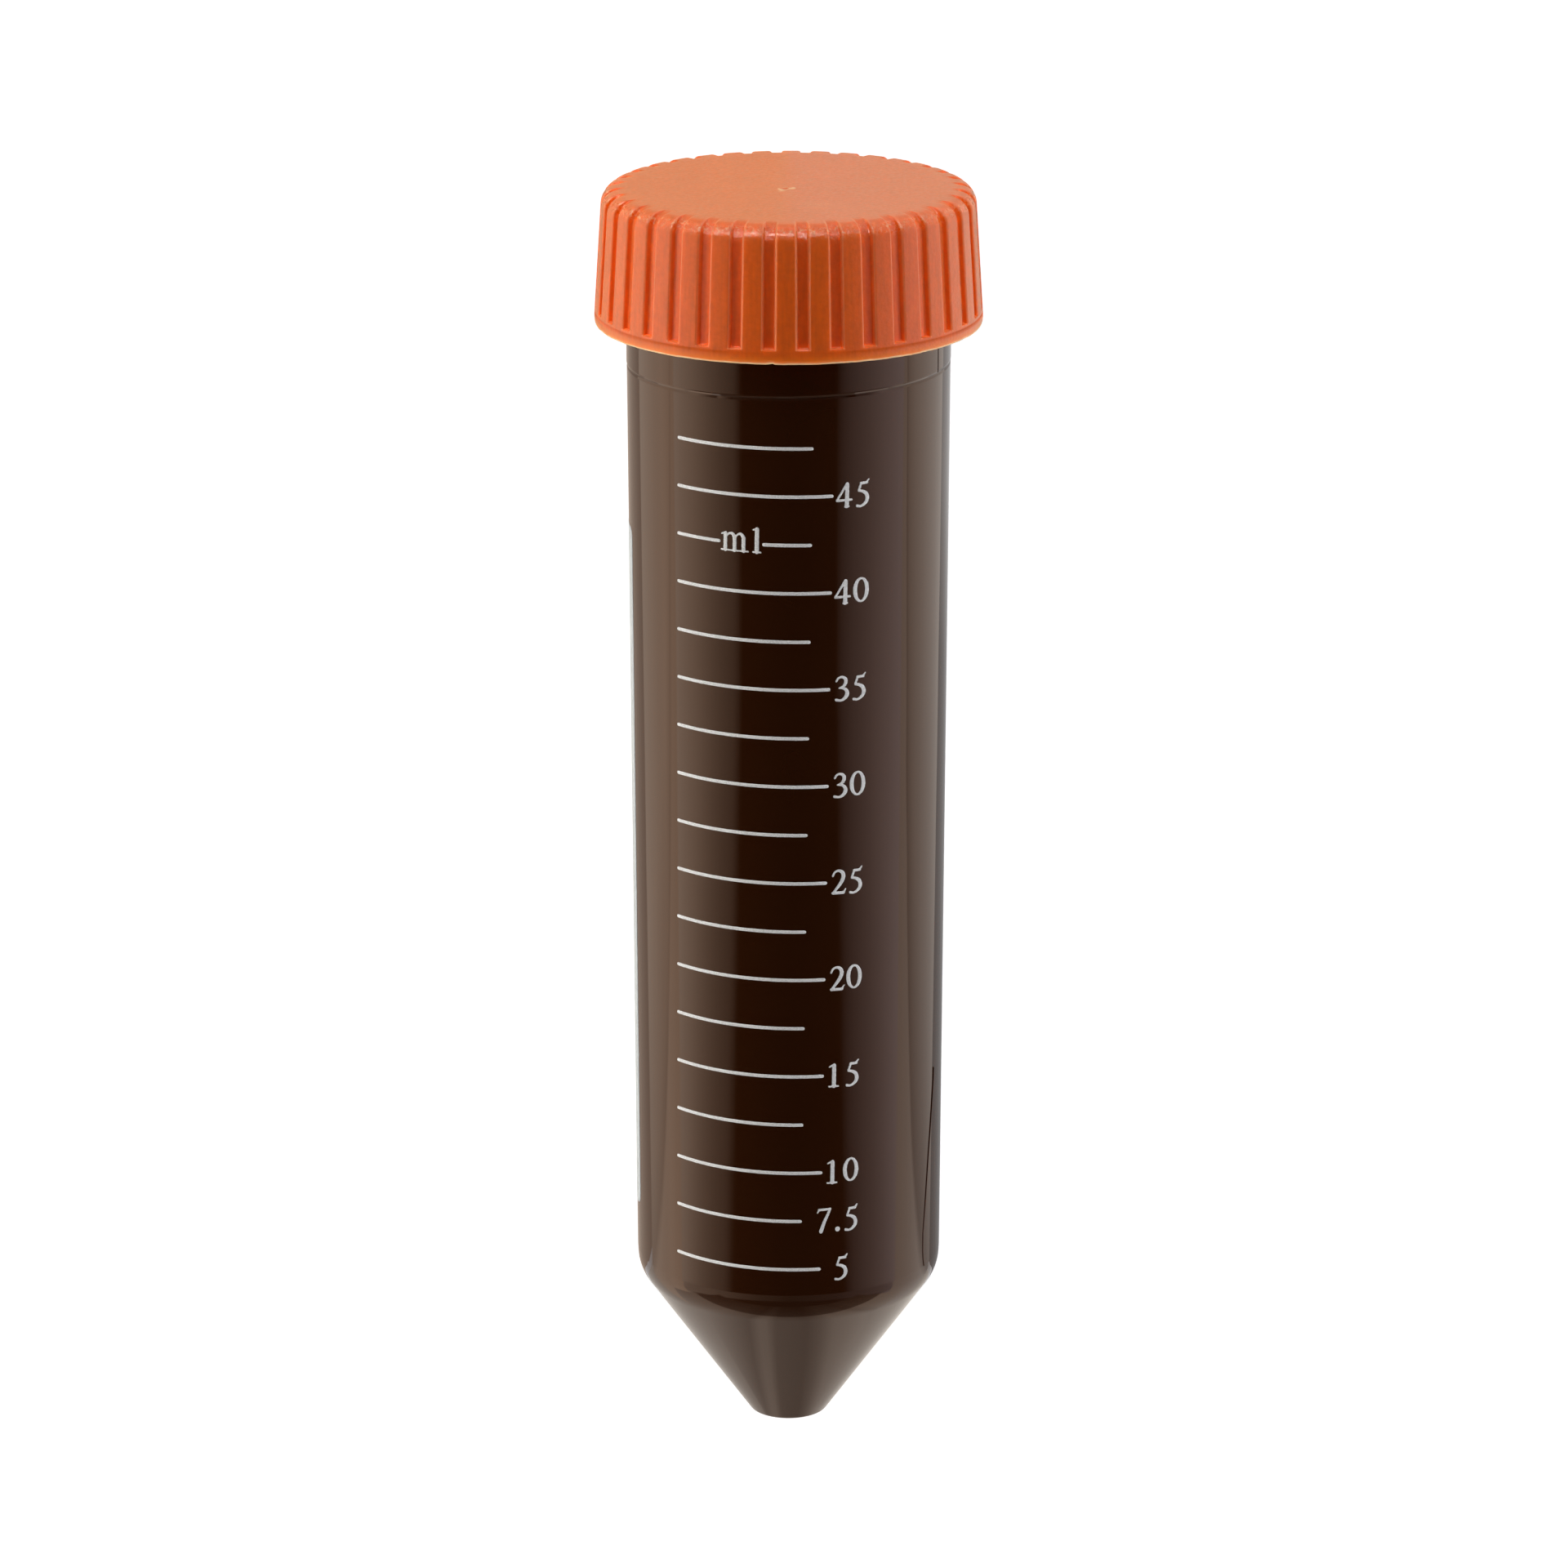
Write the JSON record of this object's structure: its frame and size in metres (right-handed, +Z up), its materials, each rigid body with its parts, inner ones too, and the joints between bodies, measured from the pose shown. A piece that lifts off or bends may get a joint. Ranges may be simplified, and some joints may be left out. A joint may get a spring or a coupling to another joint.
{
  "type": "50 ml conical tube",
  "caption": "Conical-bottomed laboratory tube with a tapered barrel, printed graduations and a ribbed screw cap with a seal ring, lying on its side.",
  "frame": {"origin": "middle of the footprint, on the surface that the tube lies on", "axes": "+Y along the lying tube from its conical tip to its cap, whose end is 2.17 degrees higher than level; +Z up, out of the side with the graduations; +X to the right of the graduations when the cap is at the top"},
  "size_m": [0.0348, 0.1174, 0.0348],
  "materials": {
    "tube": "glossy moulded polypropylene, dark brown, opaque",
    "cap": "satin moulded polyethylene, orange",
    "graduation_ink": "screen-printed white ink"
  },
  "bodies": {
    "tube": {"tube_body": "tube"},
    "cap": {"screw_cap": "cap"}
  },
  "joints": [
    {"name": "cap_lift", "type": "slide", "parent": "tube", "child": "cap", "axis": [0, 0.9993, 0.0379], "range_m": [0, 0.03]}
  ]
}
